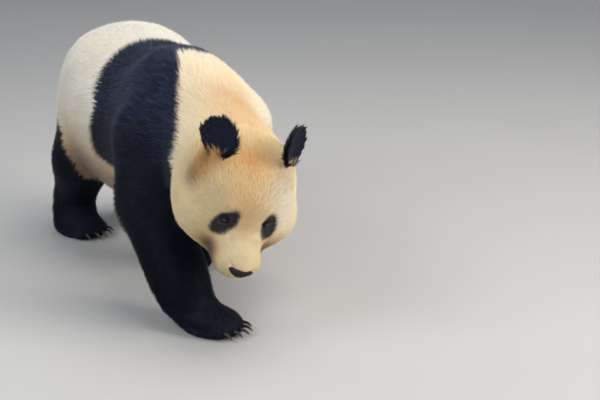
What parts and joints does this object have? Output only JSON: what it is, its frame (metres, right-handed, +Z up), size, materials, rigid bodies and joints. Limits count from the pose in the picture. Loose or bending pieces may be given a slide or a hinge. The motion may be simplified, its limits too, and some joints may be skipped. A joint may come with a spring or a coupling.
{
  "type": "giant panda",
  "caption": "Giant panda walking with its head lowered, a life-size still display model that stands on its own paws.",
  "frame": {"origin": "middle of the bounding box's underside, on the floor under the belly", "axes": "-Y is the way the panda walks, +X its left side, +Z up"},
  "size_m": [0.5336, 1.4034, 0.6898],
  "materials": {
    "white_coat": "long cream fur, matte",
    "black_coat": "long blue-black fur, matte with a faint sheen",
    "nose": "damp pebbled skin",
    "eye": "wet dark brown eye",
    "claw": "grey-brown horn, satin"
  },
  "bodies": {
    "root": {"ear_left": "black_coat", "ear_right": "black_coat", "eye_left": "eye", "eye_right": "eye", "foreclaw_left1": "claw", "foreclaw_left2": "claw", "foreclaw_left3": "claw", "foreclaw_left4": "claw", "foreclaw_left5": "claw", "foreclaw_right1": "claw", "foreclaw_right2": "claw", "foreclaw_right3": "claw", "foreclaw_right4": "claw", "foreclaw_right5": "claw", "foreleg_left": "black_coat", "foreleg_right": "black_coat", "forepaw_left": "black_coat", "forepaw_right": "black_coat", "head": "white_coat", "hindclaw_left1": "claw", "hindclaw_left2": "claw", "hindclaw_left3": "claw", "hindclaw_left4": "claw", "hindclaw_left5": "claw", "hindclaw_right1": "claw", "hindclaw_right2": "claw", "hindclaw_right3": "claw", "hindclaw_right4": "claw", "hindclaw_right5": "claw", "hindleg_left": "black_coat", "hindleg_right": "black_coat", "hindpaw_left": "black_coat", "hindpaw_right": "black_coat", "jaw": "white_coat", "neck": "white_coat", "nose": "nose", "shoulders": "black_coat", "tail": "white_coat", "trunk": "white_coat"}
  },
  "joints": []
}
